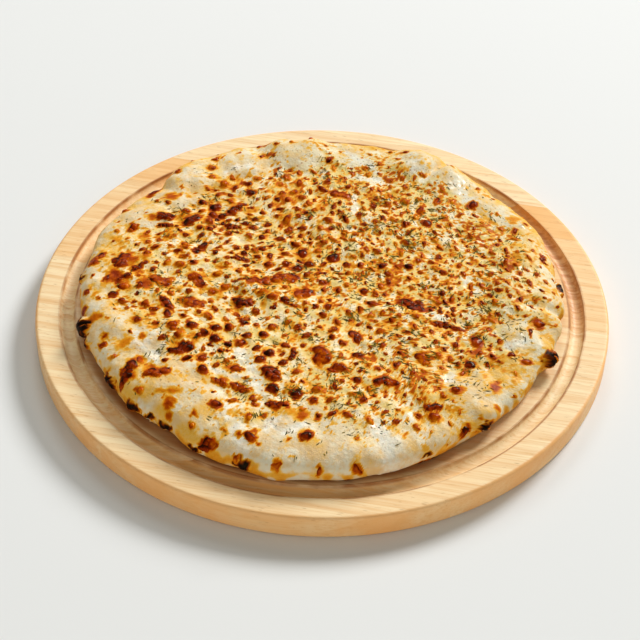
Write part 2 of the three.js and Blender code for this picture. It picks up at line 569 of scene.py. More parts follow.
def channel(routes):
    # 1 along each route and a bell of half its width beside it; a route is its width, then its points
    field = np.zeros_like(skinX)
    for width, *points in routes:
        for (ax, ay), (bx, by) in zip(points[:-1], points[1:]):
            dx, dy = bx - ax, by - ay
            along = np.clip(((skinX - ax) * dx + (skinY - ay) * dy) / (dx * dx + dy * dy), 0, 1)
            far = np.hypot(skinX - ax - along * dx, skinY - ay - along * dy)
            field = np.maximum(field, np.exp(-((far / (width / 2)) ** 2)))
    return field


bakeLook = {
    # puffs of bare dough: x, y, radius, height
    "domes": [
        (-107, 70, 24, 2.8), (-72, 97, 21, 2.4), (-38, 114, 19, 1.5), (45, 122, 18, 1.0),
        (68, 112, 16, 1.0), (-2, 123, 14, 0.8), (104, -76, 24, 2.4), (14, -138, 34, 1.6),
        (124, -22, 17, 1.4), (-64, -112, 30, 1.8), (-122, -62, 24, 1.4), (88, 92, 15, 0.8),
        (104, 84, 12, 0.6), (-124, 36, 16, 1.2), (66, -128, 20, 1.2), (-95, -72, 17, 1.0),
    ],
    # glossy runs of melted cheese between them, whose near-white colour is partly painted reflection: width,
    # then points
    "runs": [
        (9, (-36, -72), (-20, -92), (-16, -112)),
        (9, (-32, -116), (-24, -130), (-14, -148)),
        (11, (50, -112), (60, -124), (66, -138)),
        (8, (4, 80), (8, 64)),
        (9, (8, 118), (14, 108)),
        (8, (3, 101), (23, 100)),
        (9, (36, 118), (44, 108)),
        (12, (66, 108), (76, 94)),
        (10, (-8, 128), (4, 120)),
        (12, (-98, -72), (-82, -86)),
        (9, (118, -34), (128, -26)),
        (8, (84, 18), (92, 10)),
        (7, (-82, 90), (-68, 96)),
        (6, (-2, -118), (-8, -126)),
        (6, (64, -16), (76, -22)),
        (7, (88, -62), (86, -74)),
        (6, (-56, -84), (-44, -92), (-34, -94)),
        (6, (74, -92), (70, -104)),
        (5, (-8, -122), (2, -128), (12, -120)),
    ],
    # golden glow: x, y, radius, strength
    "golden": [
        (-132, -6, 26, 1.0), (-62, -112, 30, 0.8), (30, 96, 34, 0.8), (80, -66, 26, 0.7),
        (-24, -6, 30, 0.7), (-80, 60, 30, 0.6), (-104, -58, 22, 0.5), (60, 46, 40, 0.5), (-26, 60, 34, 0.6),
        (20, -72, 40, 0.45), (110, 52, 26, 0.6), (44, -8, 34, 0.5), (116, -54, 16, 0.9),
        (100, -100, 14, 0.8), (138, -36, 10, 1.2), (-92, -98, 16, 0.9), (-46, -128, 18, 0.9),
        (-140, 14, 14, 0.9), (146, -30, 9, 1.1), (-118, -44, 14, 0.7),
    ],
    "rimSpots": {
        "seed": 31,
        "count": 260,
        "reach": (100.0, 149.0),  # where they lie, in millimetres from the middle along the skin
        "size": (0.7, 3.3),  # least half width in millimetres, and how much larger the largest is
        "side": 215.0,  # turn in degrees of the side that has the most
    },
    # where blisters crowd and are darker, and where they are fewer and paler: x, y, radius, strength
    "thick": [
        (-75, 42, 19, 1.0), (-14, 15, 20, 1.0), (-44, 13, 15, 0.8), (-44, -70, 16, 0.8), (76, -14, 16, 0.9),
        (134, 10, 16, 0.9), (134, -18, 14, 0.7), (132, 42, 14, 0.8), (106, -44, 14, 0.6),
        (-16, -78, 14, 0.6),
    ],
    "thin": [
        (15, -75, 18, 1.0), (16, -14, 13, 0.7), (15, 106, 18, 1.0), (46, 106, 20, 1.0), (-15, 106, 14, 0.8),
        (76, 76, 18, 0.8), (46, 76, 14, 0.6), (-44, -106, 12, 0.6), (-38, 110, 16, 0.9),
        (31, -137, 12, 1.0), (63, -132, 14, 1.0), (-30, -128, 9, 1.0),
    ],
    "topReach": 108.0,  # the topping is even inside this distance from the middle, along the skin
    "lastReach": 150.0,  # and thins out to nothing here
    # how brown the faint layers are: toasted patches, the far part of the rim, the edge all round
    "toast": 0.12,
    "backLip": 0.13,
    "lip": 0.22,
}

blisterLook = {
    "seed": 11,
    "tries": 12000,
    "leftSize": 2.45,  # half width in millimetres, at the left and front
    "rightSize": 1.66,
    "leftSpace": 1.15,  # bare cheese left round each one
    "rightSpace": 1.02,
    # single blisters and patches: x, y, half length, half width, turn in degrees, darkness, height
    "placed": [
        (-124, -8, 5.5, 4.2, 80, 0.85, 0.7), (-112, -12, 6.5, 1.8, 50, 0.85, 0.5),
        (-118, -23, 4.5, 1.8, 35, 0.9, 0.5), (-129, -25, 3.2, 1.6, 80, 0.8, 0.4),
        (-141, -8, 5, 3.2, 70, 0.7, 0.5), (-122, -38, 3, 2.6, 0, 0.95, 0.9),
        (-117, -31, 3.6, 3, 20, 0.62, 0.7), (-96, -22, 6.5, 3.8, -25, 0.66, 0.7),
        (-87, -42, 5.2, 2.6, -35, 0.92, 0.8), (-75, -18, 6.5, 3.6, -45, 0.74, 0.7),
        (-71, -38, 7, 3.6, -20, 0.66, 0.6), (-43, -33, 4.6, 3.6, -10, 0.97, 1.1),
        (-37, -12, 6, 3.4, 20, 0.74, 0.6), (-50, -14, 5, 1.6, 20, 0.8, 0.4), (-22, -6, 8, 4, 10, 0.74, 0.7),
        (-9, -17, 4.6, 3.6, 40, 0.72, 0.7), (-38, -50, 2.5, 2.3, 0, 1.0, 1.0),
        (-41, -44, 5.4, 2.6, -20, 0.66, 0.6), (-84, -51, 4, 2.4, -70, 0.8, 0.8),
        (-67.5, -59, 3.1, 3.1, 0, 1.0, 1.2), (-53, -58, 3.2, 2.4, 50, 0.92, 0.8),
        (-34, -60, 2.8, 2.5, 0, 0.9, 1.0), (-25, -57, 2.8, 2.5, 0, 0.92, 1.0),
        (-43, -69, 2.8, 2.4, 0, 0.93, 1.0), (-26, -70, 3.1, 2.5, 70, 0.9, 1.0),
        (-5, -70, 4.6, 2.1, 80, 0.93, 0.9), (-69, -77, 7.2, 3.2, 28, 0.95, 0.9),
        (-22, -79, 3.1, 2.8, 0, 0.93, 1.0), (-34, -88, 3.8, 3, -10, 0.74, 0.9),
        (-13, -88, 5.6, 3.8, -30, 0.9, 1.0), (-10, -99, 3.5, 3.3, 0, 1.0, 1.2),
        (-6, -110, 6.6, 2.8, 5, 0.84, 0.9), (-96, -100, 9, 3.7, 75, 0.9, 1.2),
        (-91, -90, 3.6, 2.2, -60, 0.55, 0.4), (-78, -99, 7.5, 3.8, 15, 0.8, 0.8),
        (-41, -100, 4.6, 2.2, -20, 0.7, 0.7), (-28, -102, 6, 2.6, -15, 0.8, 0.8),
        (-19, -110, 5, 1.8, -60, 0.76, 0.7), (-38, -141, 4.4, 3.6, 30, 0.9, 0.6),
        (-15, -134, 4, 2.8, -35, 0.8, 0.8), (-109, 38, 4.4, 3.2, 10, 0.92, 1.0),
        (-91, 38, 4.5, 3.9, 60, 1.0, 1.3), (-80, 53, 4.2, 3.6, 80, 1.0, 1.2),
        (-66, 55, 6.4, 3, 55, 0.9, 0.9), (-105, 30, 6.8, 2.1, -8, 0.92, 0.9),
        (-61, 71, 3.4, 2.7, -40, 0.92, 0.8), (-80, 11, 4.4, 3, 50, 0.9, 0.9),
        (-55, 6, 7, 1.8, 8, 0.84, 0.6), (-33, 31, 3.3, 2.8, 0, 0.9, 1.0),
        (-17, 20, 3.1, 4.2, 20, 0.95, 1.0), (-11, 10, 3.2, 2.9, 0, 0.97, 1.1),
        (-17, 5, 3.1, 3, 0, 0.97, 1.1), (-4, 80, 5.2, 4.4, 0, 0.74, 0.7), (2, 20, 3.6, 4.4, 0, 0.95, 1.0),
        (54, 64, 3, 3.4, 0, 0.86, 0.8), (48, 77, 2.4, 4.4, 10, 0.68, 0.6), (57, 88, 2, 5, -5, 0.66, 0.5),
        (80, 90, 2.6, 4.2, 0, 0.86, 0.7), (49, 22, 2.9, 2.5, 0, 0.97, 1.0), (33, 19, 2.2, 2.1, 0, 1.0, 1.0),
        (130, 51, 5.2, 2, -70, 0.7, 0.7), (26, -6, 2.4, 2.8, 0, 0.92, 0.9),
        (33, -17, 4, 2.4, -10, 0.84, 0.8), (57, -12, 8, 4, -20, 0.9, 0.5), (80, -27, 11, 1.9, 0, 0.88, 0.5),
        (98, -35, 3.8, 5, 20, 0.8, 0.6), (97, -55, 3.6, 3.2, 0, 0.97, 1.0),
        (28, -46, 4.8, 2.8, -40, 0.93, 0.9), (32, -62, 3.4, 3.2, 0, 1.0, 1.1),
        (13, -68, 5, 4.4, -60, 0.68, 0.8), (23, -76, 4.6, 3, 10, 0.78, 0.8),
        (52, -80, 5.2, 3.2, 10, 0.86, 0.8), (70, -58, 4.8, 2.8, -20, 0.64, 0.7),
        (92, -79, 3, 3, 0, 0.82, 0.9), (80, -94, 4.4, 2.6, 10, 0.92, 0.7), (83, -100, 3.6, 3, 0, 0.66, 1.0),
        (103, -104, 2.4, 4.4, -15, 0.84, 0.9), (4, -100, 3.2, 3, 0, 0.97, 1.0),
        (15, -128, 3.6, 2.8, 10, 0.95, 0.9), (46, -141, 3.4, 2, -20, 0.66, 0.5),
        (47, -151, 5.6, 2.1, 5, 0.86, 0.8), (26, -146, 1.5, 2.6, 0, 0.62, 0.3),
        (3, -147, 2.8, 2.0, 0, 0.52, 0.3), (134, -10, 4.2, 3, -30, 0.7, 0.8),
        (131, -19, 1.5, 3.6, -10, 0.86, 0.5), (122, -41, 3.2, 2, 30, 0.84, 0.7),
        (132, -43, 4, 2.4, 20, 0.68, 0.7), (89, -129, 6, 1.9, 40, 0.76, 0.6),
        (-127, 66, 2, 6.5, -8, 0.86, 0.5),
    ],
    # burnt cheese that ran down the side: turn round the rim in degrees, distance from the middle along the
    # skin, half length, half width, height
    "burnt": [
        (12.4, 148.8, 6.8, 2.6, 3.0), (188, 150, 3.4, 2.0, 2.0), (205, 149.5, 7.0, 3.8, 5.0),
        (210, 150.5, 4.0, 2.2, 2.6), (223.5, 151, 6.5, 2.2, 2.4), (233.5, 151, 5.6, 2.0, 2.2),
        (238, 151.5, 3.6, 1.6, 1.6), (243, 151, 5.0, 1.9, 1.8), (252, 151.5, 4.0, 1.4, 1.2),
        (264, 150, 4.6, 2.6, 2.6), (304, 151, 4.0, 1.4, 1.2), (320, 150.5, 5.0, 2.2, 2.4),
        (347.4, 149.5, 6.2, 3.6, 4.6),
    ],
    "haloShare": 0.78,  # how many have an orange halo
    "mateShare": 0.30,  # how many have a smaller one grown into their side
    "rings": (1.0, 0.88, 0.66, 0.36),  # rings of a blister's cap, as shares of its half width
    "lifts": (-0.30, 0.14, 0.66, 0.94, 1.0),  # the rings' and the tip's height, as shares of the cap's
    "shades": (0.42, 0.86, 1.02, 0.90, 0.80),  # and how dark they are baked
    "farShade": 0.42,  # painted shade: how much darker a cap is on its far side
    "sides": 12,
    "rootDepth": 0.6,  # millimetres that the point below a cap is sunk into the bread
}


def brokenUp(placed, seed):
    # a patch longer than a single blister becomes several that overlap, strewn over its ellipse
    rng = np.random.default_rng(seed)
    rows = []
    for x, y, longHalf, shortHalf, turn, dark, height in placed:
        if longHalf < 4.4:
            rows.append((x, y, longHalf, shortHalf, turn, dark, height))
            continue
        c, s = math.cos(math.radians(turn)), math.sin(math.radians(turn))
        many = int(round(1.5 + 1.1 * longHalf / shortHalf + 0.18 * longHalf * shortHalf))
        for along in np.linspace(-0.72, 0.72, many):
            a = longHalf * (along + rng.normal(0, 0.08))
            b = shortHalf * rng.normal(0, 0.42) * (1 - 0.6 * abs(along))
            size = shortHalf * rng.uniform(0.50, 0.88)
            tilt = turn + rng.normal(0, 30)
            spot = (x + a * c - b * s, y + a * s + b * c)
            longer, darker = rng.uniform(1.0, 1.7), rng.uniform(0.82, 1.1)
            rows.append((*spot, size * longer, size, tilt, dark * darker, 0.8 * height))
    return np.array(rows)


def planBlisters(look, covered, crowd, reaches):
    # every blister as a row x, y, half length, half width, turn, darkness, height: those listed, then
    # random ones, none closer to another than its spacing; larger and darker at the left and front
    rng = np.random.default_rng(look["seed"])
    placed = brokenUp(np.array(look["placed"], float), look["seed"] + 3)
    tries = look["tries"]
    spots = np.zeros((len(placed) + tries, 3))
    spots[: len(placed)] = np.stack([placed[:, 0], placed[:, 1], 1.1 * placed[:, 2:4].max(1) + 0.6], -1)
    count = len(placed)
    topReach, lastReach = reaches
    reach = lastReach * np.sqrt(rng.random(tries))
    turn = rng.random(tries) * 2 * math.pi
    xs, ys = reach * np.cos(turn), reach * np.sin(turn)
    edge = smoothStep(topReach, lastReach, reach)
    cover = onSkin(covered, xs, ys)
    right = towardsBack(xs, ys)
    crowded = onSkin(crowd, xs, ys)  # 1 where blisters crowd, -1 where there are few
    draws = rng.random((tries, 7))
    keep = (draws[:, 0] > 0.94 * edge) & (draws[:, 1] > 1.15 * cover - 0.06) & (draws[:, 6] > -0.6 * crowded)
    size = look["leftSize"] + (look["rightSize"] - look["leftSize"]) * right
    size = size * (0.45 + 0.85 * draws[:, 2] ** 0.8) * (1 - 0.3 * edge)
    space = size + look["leftSpace"] + (look["rightSpace"] - look["leftSpace"]) * right + 2.6 * edge
    space = space * (1 - 0.35 * crowded)
    chosen = []
    for i in np.flatnonzero(keep):
        far = np.hypot(spots[:count, 0] - xs[i], spots[:count, 1] - ys[i])
        if (far < spots[:count, 2] + space[i]).any():
            continue
        spots[count] = xs[i], ys[i], space[i]
        count += 1
        chosen.append(i)
    xs, ys, size, right, edge, crowded = (column[chosen] for column in (xs, ys, size, right, edge, crowded))
    draws = draws[chosen].T
    longer = 1 + 0.75 * draws[3] ** 1.5 + 0.45 * right
    dark = (0.78 - 0.09 * right) * (0.62 + 0.62 * draws[4]) * (1 - 0.2 * edge) * (1 + 0.16 * crowded)
    tilt = 180 * draws[5] + right * (75 - 90 * draws[5])  # towards the right they lie more and more alike
    random = np.stack([xs, ys, size * longer**0.6, size / longer**0.4, tilt, dark, size * 0.42], -1)
    mates = random[rng.random(len(random)) < look["mateShare"]]
    side = rng.random(len(mates)) * 2 * math.pi
    off = mates[:, 3] * (0.9 + 0.5 * rng.random(len(mates)))
    mates = mates * (1, 1, 0.68, 0.75, 1, 0.9, 0.8)
    mates[:, 0] += off * np.cos(side)
    mates[:, 1] += off * np.sin(side)
    return np.vstack([placed, random, mates])


def stamp(field, spot, warp, shape):
    # adds one ellipse to a field: shape turns the distance from its middle, in half widths, into a value
    x, y, longHalf, shortHalf, turn = spot
    reach = 2.6 * max(longHalf, shortHalf) + 1
    i0, i1 = np.searchsorted(skinLine, [y - reach, y + reach])
    j0, j1 = np.searchsorted(skinLine, [x - reach, x + reach])
    window = np.s_[i0:i1, j0:j1]
    dx = skinX[window] - x + warp[0][window]
    dy = skinY[window] - y + warp[1][window]
    c, s = math.cos(math.radians(turn)), math.sin(math.radians(turn))
    far = np.hypot((dx * c + dy * s) / longHalf, (dy * c - dx * s) / shortHalf)
    field[window] = np.maximum(field[window], shape(far))


def bakeHalos(look, blisters, brown, rise, warp):
    # under each blister a low mound and a brown bed, beside most an orange halo that trails to one side
    rng = np.random.default_rng(look["seed"] + 1)
    for x, y, longHalf, shortHalf, turn, dark, height in blisters:
        spot = (x, y, longHalf, shortHalf, turn)
        stamp(brown, spot, warp, lambda far: 0.72 * dark * bell(far, 0.95, 0.22))
        stamp(rise, spot, warp, lambda far: 0.45 * height * bell(far, 0, 1.25))
        if rng.random() > look["haloShare"]:
            continue
        away = math.radians(rng.normal(135, 55))
        off = 0.75 * shortHalf * rng.random()
        grown = 1.12 + 0.52 * rng.random()
        glow = 0.27 + 0.25 * rng.random()
        middle = (x + off * math.cos(away), y + off * math.sin(away))
        halo = (*middle, longHalf * grown, shortHalf * grown, turn)
        stamp(brown, halo, warp, lambda far: glow * bell(far, 0.35, 0.47))


def bakeRimSpots(look, crowd, brown, warp):
    # soft browned spots strewn over the rim, most of them small, none where few belong
    rng = np.random.default_rng(look["seed"])
    least, spread = look["size"]
    for _ in range(look["count"]):
        reach, turn = rng.uniform(*look["reach"]), rng.uniform(0, 2 * math.pi)
        dark, size = 0.26 + 0.44 * rng.random() ** 1.4, least + spread * rng.random() ** 2.2
        longer, lie = rng.uniform(1.0, 1.9), rng.uniform(0, 180)
        if rng.random() > 0.55 + 0.45 * math.cos(turn - math.radians(look["side"])):
            continue
        spot = (reach * math.cos(turn), reach * math.sin(turn), size * longer, size, lie)
        if onSkin(crowd, *spot[:2]) < -0.4:
            continue
        stamp(brown, spot, warp, lambda far: dark * bell(far, 0.35, 0.6))


def bakeSkin(look, blisterLook):
    # lays the domes, cheese runs, halos and burnt drips on the flat map and returns its fields
    domes, bare, brown, rise, char = np.zeros((5, skinCount, skinCount))
    ragged = cloud(14, 40)
    for x, y, radius, height in look["domes"]:
        far = np.hypot(skinX - x, skinY - y) / radius + 0.10 * ragged
        domes = np.maximum(domes, height * (1 - smoothStep(0.1, 1.05, far)))
        bare = np.maximum(bare, 1 - smoothStep(0.62, 1.0, far))
    runs = channel(look["runs"])
    wet = smoothStep(0.15, 1.10, runs + 0.20 * cloud(5, 4) + 0.12 * cloud(2.4, 5))
    warp = (0.60 * cloud(3.2, 6) + 0.25 * cloud(1.6, 8), 0.60 * cloud(3.2, 7) + 0.25 * cloud(1.6, 9))
    reaches = (look["topReach"], look["lastReach"])
    crowd = blobs(look["thick"]) - blobs(look["thin"])
    blisters = planBlisters(blisterLook, np.maximum(bare, wet), crowd, reaches)
    bakeHalos(blisterLook, blisters, brown, rise, warp)
    bakeRimSpots(look["rimSpots"], crowd, brown, warp)

    # golden patches, young spots and toasted edges, each faint where dough is bare or cheese is wet
    right = towardsBack(skinX, skinY)
    glow = blobs(look["golden"])
    inner = 1 - smoothStep(*reaches, skinFar + 2.2 * cloud(9, 3))
    young = smoothStep(0.9, 1.9, cloud(2.4, 21) + 0.4 * cloud(9, 22) + 0.4 * glow + 0.3 * right - 1.5 * wet)
    young = young * (0.28 + 0.16 * inner + 0.06 * right) * (1 - 0.5 * bare) * (0.5 + 0.5 * inner)
    patch = smoothStep(0.5, 2.6, cloud(7.5, 12) + 0.4 * cloud(17, 13) + 0.8 * glow - 1.5 * wet)
    patch = patch * (0.16 + 0.16 * inner) * (1 - 0.6 * bare) * (0.8 + 0.3 * cloud(1.8, 46))
    toast = smoothStep(-0.3, 1.5, 0.5 * cloud(20, 14) + 0.4 * cloud(9, 23) + 1.2 * glow)
    toast = look["toast"] * toast * (1 - 0.4 * inner) * (1 - 0.6 * smoothStep(60, 130, skinY)) * (1 - wet)
    uneven = cloud(6, 44)
    lip = smoothStep(146.0, 150.5, skinFar + 1.2 * uneven) * smoothStep(-0.8, 1.0, cloud(9, 45))
    backLip = smoothStep(131, 146, skinFar + 2.0 * uneven) * smoothStep(40, 90, skinY)
    for layer in (patch, young, toast, look["backLip"] * backLip, look["lip"] * lip):
        np.maximum(brown, layer, out=brown)

    torn = (1.1 * cloud(3.4, 42), 1.1 * cloud(3.4, 43))
    for at, down, halfLong, halfWide, height in blisterLook["burnt"]:
        a = math.radians(at)
        spot = (down * math.cos(a), down * math.sin(a), halfLong, halfWide, at + 90)
        stamp(char, spot, torn, lambda far: 1 - smoothStep(0.70, 1.20, far))
        stamp(brown, spot, torn, lambda far: 0.55 * bell(far, 0.8, 0.5))
        stamp(rise, spot, warp, lambda far: height * np.maximum(1 - (far / 1.1) ** 2, 0) ** 0.6)
    lumps = 0.30 * cloud(9, 17) + 0.13 * cloud(4.6, 19)
    waves = 0.75 * cloud(46, 15) + 0.38 * cloud(18, 16) + lumps * (1 - 0.75 * bare) * (0.35 + 0.65 * inner)
    fine = 0.05 * cloud(2.8, 18) * (1 - 0.6 * bare)
    height = domes + rise + waves + fine - 0.8 * runs + 0.4 * wet
    herby = 0.6 + 0.4 * cloud(12, 20) + smoothStep(-60, 30, skinX + 0.3 * skinY) - 0.8 * bare
    herby = np.clip(herby, 0, 1) * inner
    print("skin:", len(blisters), "blisters laid out")
    fields = {"height": height, "brown": brown, "char": char, "wet": wet, "bare": bare, "herby": herby}
    return fields, blisters


crustLook = {
    "gridSide": 298,  # points along each side of the square grid
    "sideHeight": 5.5,  # millimetres above the base, where the bread is widest
    "thickness": 18.5,
    "undercut": 5.0,
    "edgePower": 6.0,
    "edgeSoftness": 0.343,
    "rimStart": 0.72,  # where the outline and the puffs begin to pull, as a share of the radius
    "rimFull": 0.93,
    # narrow puffs on the rim: turn in degrees, spread in degrees, reach and rise in millimetres
    "puffs": [
        (60.2, 1.8, 0.5, 2.6), (63.9, 1.7, 1.5, 7.4), (66.9, 0.9, -0.8, -2.2), (70.6, 2.4, 1.5, 5.4),
        (75.0, 2.4, 1.0, 4.4), (103.8, 3.6, 0, 5.8), (112.6, 3.2, 0, 4.8), (6.5, 2.6, 1.3, 1.0),
        (2.2, 1.1, -2.2, -1.4), (358.4, 2.0, 1.2, 0.8), (353, 2.4, -2.2, -0.8), (343, 2.6, -1.4, -0.5),
        (123, 4.5, 0, 2.8), (141, 4.5, 0, 3.8), (150, 2.4, -2.5, -1.2), (164, 5, 0, 0.5), (96, 3, 0, 1.0),
    ],
    "outlineStep": 3.75,  # degrees between the points of the CAD bread's outline
    "baseRings": (0.86, 0.6, 0.3),
    "topSheet": 0.84,  # share of the baked sheet that the top fills
}


def cadOutline(node, step):
    # radius of the CAD bread at its widest, as angles and radii that wrap round
    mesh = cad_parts[node].data
    points = np.zeros(len(mesh.vertices) * 3)
    mesh.vertices.foreach_get("co", points)
    points = points.reshape(-1, 3)
    count = round(360 / step)
    slot = np.round(np.degrees(np.arctan2(points[:, 1], points[:, 0])) / step).astype(int) % count
    widest = np.zeros(count)
    np.maximum.at(widest, slot, np.hypot(points[:, 0], points[:, 1]))
    return np.arange(count) * step, widest / mm


def sideProfile(look, radius):
    # one meridian as arc length, distance from the axis, height and outward normal: a superellipse from the
    # middle of the top to the widest part, then a quarter ellipse tucked under to the base
    turn = np.linspace(math.pi / 2, 0, 400)
    r = radius * np.cos(turn) ** (2 / look["edgePower"])
    low, high = look["sideHeight"], look["thickness"]
    z = low + (high - low) * np.sin(turn) ** (2 * look["edgeSoftness"])
    r[0] = 0
    under = np.linspace(0, math.pi / 2, 60)[1:]
    r = np.concatenate([r, radius - look["undercut"] * (1 - np.cos(under))])
    z = np.concatenate([z, low * (1 - np.sin(under))])
    arc = np.concatenate([[0], np.cumsum(np.hypot(np.diff(r), np.diff(z)))])
    even = np.linspace(0, arc[-1], 900)
    r, z = np.interp(even, arc, r), np.interp(even, arc, z)
    soft = np.ones(9) / 9
    slopes = (-np.gradient(z, even), np.gradient(r, even))
    nr, nz = (np.convolve(np.pad(slope, 4, "edge"), soft, "valid") for slope in slopes)
    size = np.hypot(nr, nz)
    return even, r, z, nr / size, nz / size


def discGrid(side):
    # a square grid bent into a disc, ring by ring: distance from the middle, 0 to 1, and angle
    line = np.linspace(-1, 1, side)
    a, b = np.meshgrid(line, line)
    wide = np.abs(a) >= np.abs(b)
    ring = np.where(wide, a, b)
    safeA, safeB = np.where(a == 0, 1, a), np.where(b == 0, 1, b)
    phi = np.where(wide, math.pi / 4 * b / safeA, math.pi / 2 - math.pi / 4 * a / safeB)
    return np.abs(ring), np.arctan2(ring * np.sin(phi), ring * np.cos(phi))


def gridPlace(side, share, angle):
    # the reverse of discGrid: row and column of the square grid at a distance and angle of the disc
    sector = np.round(angle / (math.pi / 2)).astype(int)
    p = share
    q = share * (angle - sector * math.pi / 2) * 4 / math.pi
    a = np.choose(sector % 4, [p, -q, -p, q])
    b = np.choose(sector % 4, [q, p, -q, -p])
    last = side - 1
    return np.clip((b + 1) / 2 * last, 0, last - 1e-6), np.clip((a + 1) / 2 * last, 0, last - 1e-6)


def rimPuffs(look, angle):
    # how far each narrow puff pushes the rim out and up: a bell over the angle
    reach, rise = np.zeros_like(angle), np.zeros_like(angle)
    for at, spread, out, up in look["puffs"]:
        off = (np.degrees(angle) - at + 180) % 360 - 180
        puff = np.exp(-0.5 * (off / spread) ** 2)
        reach += out * puff
        rise += up * puff
    return reach, rise


def breadShape(look, skin):
    # each grid point's distance from the middle is a length along the skin; the meridian gives its place,
    # the outline and the rim puffs stretch it, and the flat map's height moves it along the normal
    share, angle = discGrid(look["gridSide"])
    turns, widest = cadOutline("cheese_flatbread", look["outlineStep"])
    outline = np.interp(np.degrees(angle) % 360, np.append(turns, 360), np.append(widest, widest[0]))
    nominal = float(widest.mean())
    arc, r, z, nr, nz = sideProfile(look, nominal)
    along = share * arc[-1]
    radial, high, outR, outZ = (np.interp(along, arc, values) for values in (r, z, nr, nz))
    reach, rise = rimPuffs(look, angle)
    grown = smoothStep(look["rimStart"], look["rimFull"], radial / nominal)
    radial = radial * (1 + ((outline + reach) / nominal - 1) * grown)
    above = np.maximum(high - look["sideHeight"], 0) / (look["thickness"] - look["sideHeight"])
    high = high + rise * above * grown
    flatX, flatY = along * np.cos(angle), along * np.sin(angle)
    fade = 1 - smoothStep(arc[-1] - 6, arc[-1] - 1, along)  # the base's edge stays flat on the board
    push = onSkin(skin["height"], flatX, flatY) * fade
    radial, high = radial + outR * push, high + outZ * push
    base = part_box("cheese_flatbread")[0].z / mm
    x, y = radial * np.cos(angle), radial * np.sin(angle)
    points = np.stack([x, y, base + np.maximum(high, 0)], -1)
    return points, flatX, flatY, arc[-1]


def gridNormals(points):
    # the direction out of a grid of points, smoothed over a few of them
    rowWay, columnWay = np.gradient(points, axis=0), np.gradient(points, axis=1)
    out = np.cross(columnWay, rowWay)
    for _ in range(2):
        beside = out[:-2, 1:-1] + out[2:, 1:-1] + out[1:-1, :-2] + out[1:-1, 2:]
        out[1:-1, 1:-1] = (out[1:-1, 1:-1] * 2 + beside) / 6
    return out / np.linalg.norm(out, axis=-1, keepdims=True)


def breadUv(piece, look, topFaces, points):
    # the top fills most of the sheet as the square it was bent from, and the base lies small in a corner
    index = faceCorners(piece)
    side, size = look["gridSide"], look["topSheet"]
    row, column = np.divmod(np.minimum(index, side * side - 1), side)
    topUv = np.stack([column, row], -1) / (side - 1) * size + 0.005
    room = (1 - size) / 2
    baseUv = 1 - room + 0.005 + points[index, :2] / np.abs(points[:, :2]).max() * (room - 0.015)
    isTop = np.arange(len(index)) < topFaces * 4
    setUv(piece, np.where(isTop[:, None], topUv, baseUv))


def makeBread(look, skin, crust):
    # the bent grid is the top and side; coarse rings and a fan close the flat base
    points, flatX, flatY, skinReach = breadShape(look, skin)
    side = look["gridSide"]
    quads = gridQuads(side, side)
    border = gridBorder(side, side)
    flat = points.reshape(-1, 3)
    rings = [flat[border] * (k, k, 1) for k in look["baseRings"]]
    middle = flat[border].mean(0) * (0, 0, 1)
    every = np.vstack([flat, *rings, middle[None]])
    size = len(border)
    loops = [border] + [side * side + i * size + np.arange(size) for i in range(len(rings))]
    pairs = zip(loops[:-1], loops[1:])
    base = [np.stack([a, np.roll(a, -1), np.roll(b, -1), b], -1)[:, ::-1] for a, b in pairs]
    last = loops[-1]
    fan = np.stack([np.full(size, len(every) - 1), np.roll(last, -1), last], -1)
    extra = len(every) - len(flat)
    fields = {}
    for key in ("brown", "char", "wet", "bare", "herby"):
        fields[key] = np.append(onSkin(skin[key], flatX, flatY).ravel(), np.zeros(extra))
    down = np.hypot(flatX, flatY) / skinReach
    fields["down"] = np.append(down.ravel(), np.ones(extra))  # 0 in the middle of the top, 1 at the base
    piece = makePiece("cheeseFlatbread", every * mm, np.vstack([quads, *base]), fan, fields)
    breadUv(piece, look, len(quads), every)
    piece.data.materials.append(crust)
    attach(piece, "root")
    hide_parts("cheese_flatbread")
    print("bread:", len(quads), "faces on the top and side")
    return points, gridNormals(points), skinReach


def onBread(surface, x, y):
    # place and outward direction on the finished bread at a point x, y of the flat map
    points, normals, skinReach = surface
    share = np.minimum(np.hypot(x, y) / skinReach, 1)
    row, column = gridPlace(len(points), share, np.arctan2(y, x))
    out = between(normals, row, column)
    return between(points, row, column), out / np.linalg.norm(out, axis=-1, keepdims=True)


def cellUv(piece, count, rings, sides):
    # one square cell of the sheet for each of count equal round pieces, laid out as a disc seen from above
    each = len(rings) * sides + 2
    number, part = np.divmod(faceCorners(piece), each)
    ring, step = np.divmod(part, sides)
    reach = 0.44 * np.append(rings, (0, 0))[np.minimum(ring, len(rings) + 1)]
    reach = np.where(part == each - 1, 0, reach)
    turn = step * 2 * math.pi / sides
    cells = math.ceil(math.sqrt(count))
    row, column = np.divmod(number, cells)
    across, up = column + 0.5 + reach * np.cos(turn), row + 0.5 + reach * np.sin(turn)
    setUv(piece, np.stack([across, up], -1) / cells)


def repeated(faces, count, each):
    # the faces of one small piece, repeated for count pieces of each points
    return (faces[None] + (np.arange(count) * each)[:, None, None]).reshape(-1, faces.shape[1])


